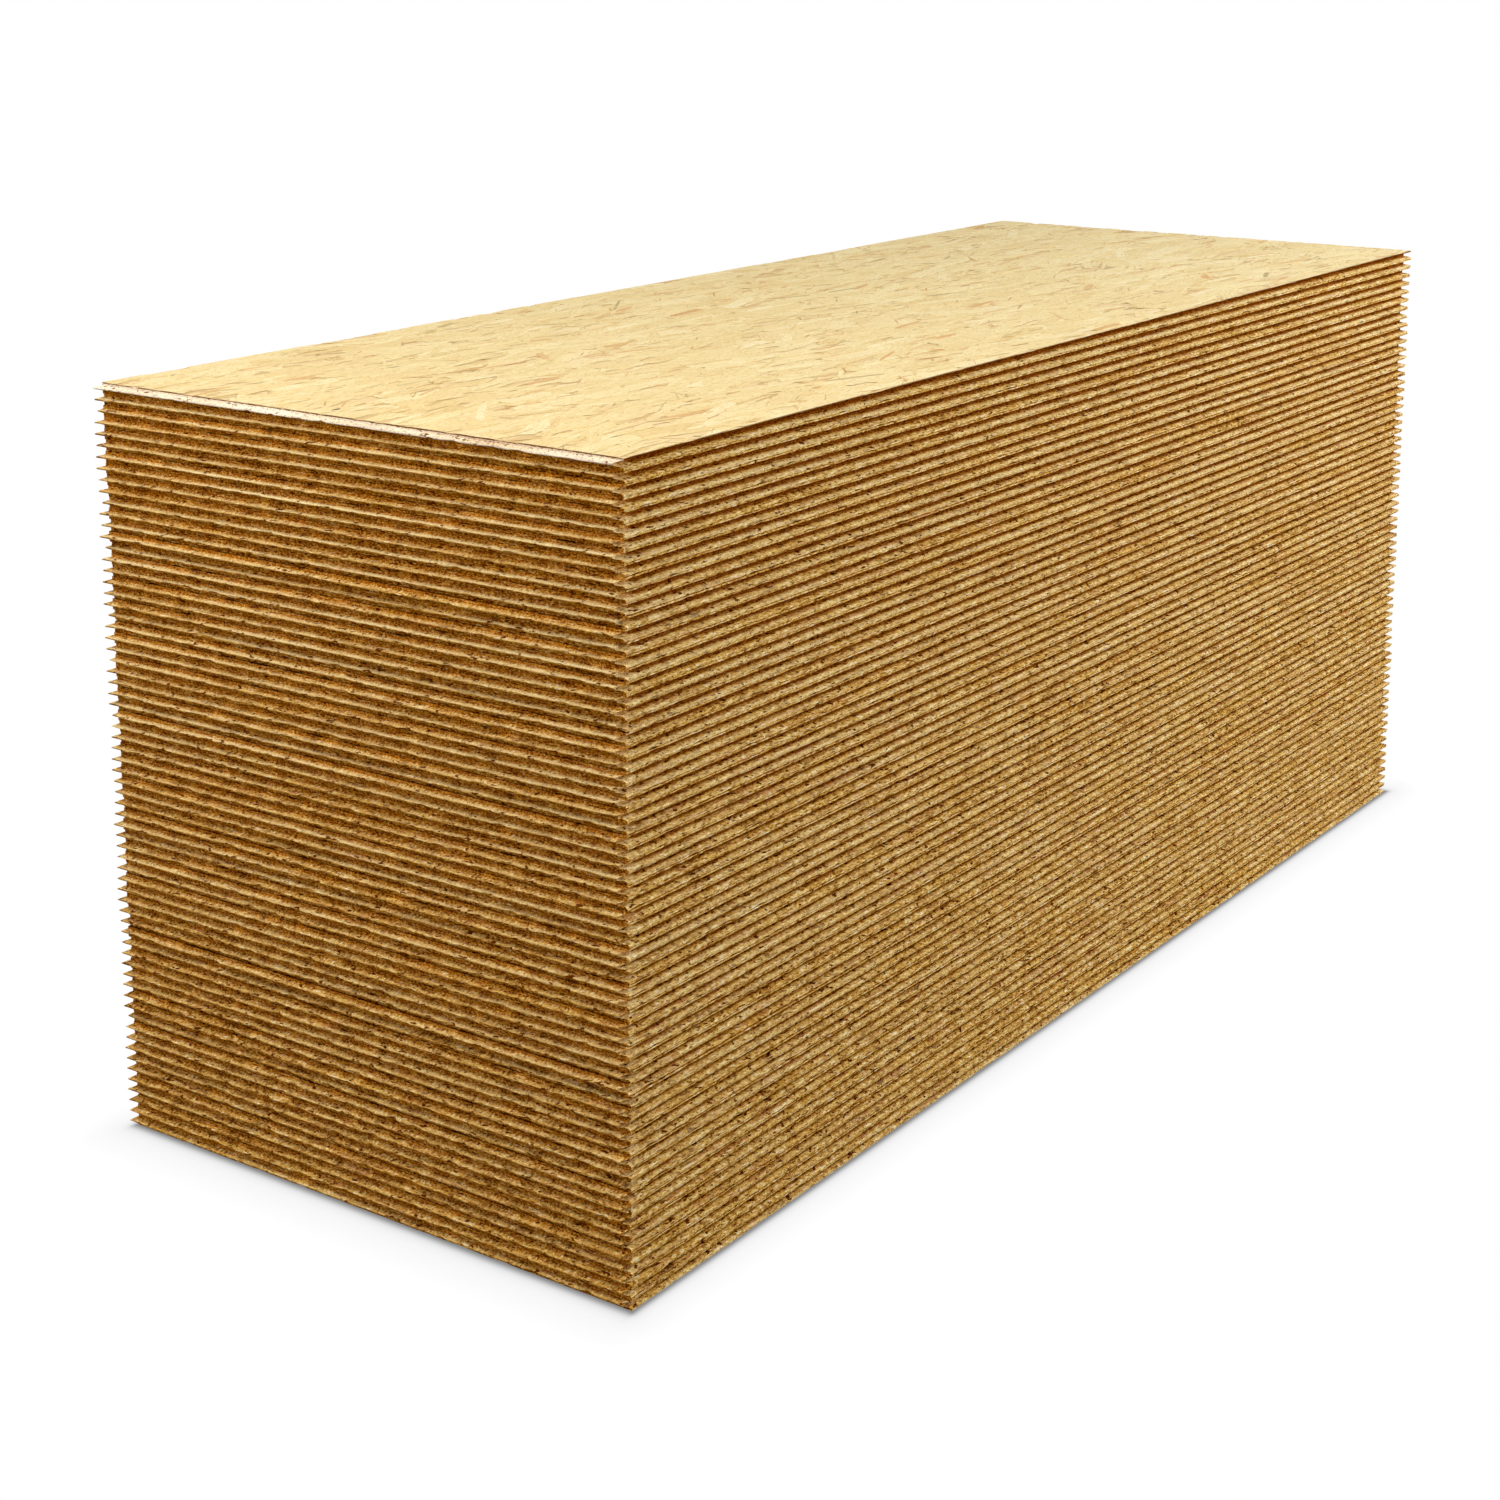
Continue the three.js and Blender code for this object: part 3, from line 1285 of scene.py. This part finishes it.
@dataclass(frozen=True)
class Studio:
    """A pale floor under soft light, and the camera. Angles are in degrees."""

    camera_place: XYZ = (1.7244, -2.6828, 1.2700)
    azimuth: float = 35.252
    elevation: float = 11.289
    lens: float = 62.685
    shift: float = -0.2
    sight: float = 500.0  # how far the camera sees
    floor_size: float = 160.0
    contact: float = 70 * MM  # how far the contact shadow reaches out of the boards' bodies
    contact_fall: XYZ = (1.5, 1.0, 0.0)  # how fast it fades along X and Y, against that reach
    contact_shade: Stops = (
        (0.0, "#8B8B8B"),
        (0.036, "#A2A2A2"),
        (0.071, "#BCBCBC"),
        (0.107, "#D2D2D2"),
        (0.143, "#E2E2E2"),
        (0.179, "#EBEBEB"),
        (0.243, "#F2F2F2"),
        (0.357, "#F7F7F7"),
        (0.643, "#FBFBFB"),
        (1.0, "#FFFFFF"),
    )
    wall_strength: float = 1.27  # the studio's bright low walls all round
    walls: Stops = (  # from straight down through the horizon, at 0.5, to straight up
        (0.42, "#000000"),
        (0.44, "#FFFFFF"),
        (0.49, "#FFFFFF"),
        (0.51, "#DCDCDC"),
        (0.62, "#DCDCDC"),
        (0.68, "#000000"),
    )
    sun_strength: float = 1.1
    sun_elevation: float = 85.0
    sun_angle: float = 50.0  # how wide it looks: the wider, the softer its shadows
    sun_height: float = 3.0
    softboxes: tuple[Softbox, ...] = (
        Softbox("front_left", (-0.8, -2.2, 2.4), (0.0, -0.9, 0.5), 1.5, 48.0, "#FFF8F7"),
        Softbox("right_far", (2.2, 1.6, 2.0), (0.3, 0.5, 0.5), 1.5, 91.0, "#E4EAFF"),
        Softbox("right_near", (2.4, -1.0, 2.2), (0.3, -0.3, 0.5), 1.5, 25.0, "#FFF5E4"),
        Softbox("rear_left", (-2.6, -0.2, 0.4), (-0.3, -0.2, 0.4), 0.7, 40.0),
        Softbox("rear_far", (-0.1, 3.2, 0.4), (-0.1, 0.9, 0.4), 0.7, 40.0),
    )

    def build(self) -> None:
        """Make the camera, the floor and the lights."""
        self.build_camera()
        self.build_floor()
        self.build_lights()
        bpy.context.scene.view_settings.view_transform = "Standard"

    def build_camera(self) -> None:
        """Place the camera that looks at the near corner."""
        tilt = math.radians(90 - self.elevation)
        bpy.ops.object.camera_add(
            location=self.camera_place, rotation=(tilt, 0, math.radians(self.azimuth))
        )
        camera = bpy.context.object
        camera.data.lens = self.lens
        camera.data.shift_y = self.shift
        camera.data.clip_end = self.sight
        bpy.context.scene.camera = camera

    def build_floor(self) -> None:
        """Lay the floor, shaded where the stack stands on it, under a dome of the same white."""
        low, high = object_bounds()
        low += Vector((1, 1, 0)) * MillingPass.tongue_length
        centre, half = (low + high) / 2, (high - low) / 2
        bpy.ops.mesh.primitive_plane_add(size=self.floor_size)
        add = self.glowing(bpy.context.object, "floor")
        point: Any = add("TexCoord").outputs["Object"]
        for operation, other in (
            ("SUBTRACT", (centre.x, centre.y, 0)),
            ("ABSOLUTE", (0, 0, 0)),
            ("SUBTRACT", (half.x, half.y, 0)),
            ("MAXIMUM", (0, 0, 0)),
            ("MULTIPLY", self.contact_fall),
        ):
            point = add("VectorMath", (point, other), operation=operation)
        distance = add("VectorMath", [point], operation="LENGTH").outputs["Value"]
        share = add("Math", (distance, 1 / self.contact), operation="MULTIPLY")
        shade = add("ValToRGB", [share], self.contact_shade)
        add("OutputMaterial", [add("Emission", [shade])])
        bpy.ops.mesh.primitive_uv_sphere_add(radius=self.floor_size / 2)
        add = self.glowing(bpy.context.object, "backdrop")
        add("OutputMaterial", [add("Emission", [linear(WHITE)])])

    @staticmethod
    def glowing(obj: Object, name: str) -> AddNode:
        """Make an object a part of the stage that looks white but neither lights nor shades.

        Args:
            obj: The object.
            name: The name that it gets.

        Returns:
            The function that adds a node to its material, still without a shader.
        """
        obj.name = name
        obj.visible_diffuse = obj.visible_glossy = obj.visible_shadow = False
        material = bpy.data.materials.new(f"pale_{name}")
        obj.data.materials.append(material)
        obj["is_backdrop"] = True
        return empty_tree(material)

    def build_lights(self) -> None:
        """Light the stack from above, from bright low walls all round and from its sides."""
        world = bpy.data.worlds.new("studio")
        add = empty_tree(world)
        direction = add("TexCoord").outputs["Generated"]
        upward = add("SeparateXYZ", [direction]).outputs["Z"]
        walls = add("ValToRGB", [add("MapRange", (upward, -1.0, 1.0))], self.walls)
        sky = add("Background", {"Color": walls, "Strength": self.wall_strength})
        add("OutputWorld", {"Surface": sky})
        bpy.context.scene.world = world
        bpy.ops.object.light_add(type="SUN", location=(0, 0, self.sun_height))
        sun = bpy.context.object
        sun.name = "overhead"
        sun.data.energy = self.sun_strength
        sun.data.angle = math.radians(self.sun_angle)
        sun.rotation_euler.x = math.radians(90 - self.sun_elevation)
        for softbox in self.softboxes:
            softbox.build()


def main() -> None:
    """Build the scene in order: studio, boards, strands."""
    logging.basicConfig(level=logging.INFO, format="%(name)s: %(message)s")
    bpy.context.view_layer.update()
    Studio().build()
    finishes = {Surface.FACE: FaceFinish().build(), Surface.EDGE: EdgeFinish().build()}
    BoardStack().build(finishes)
    StrandMat().build(StrandFinish().build(), finishes[Surface.EDGE])


if __name__ == "__main__":
    main()
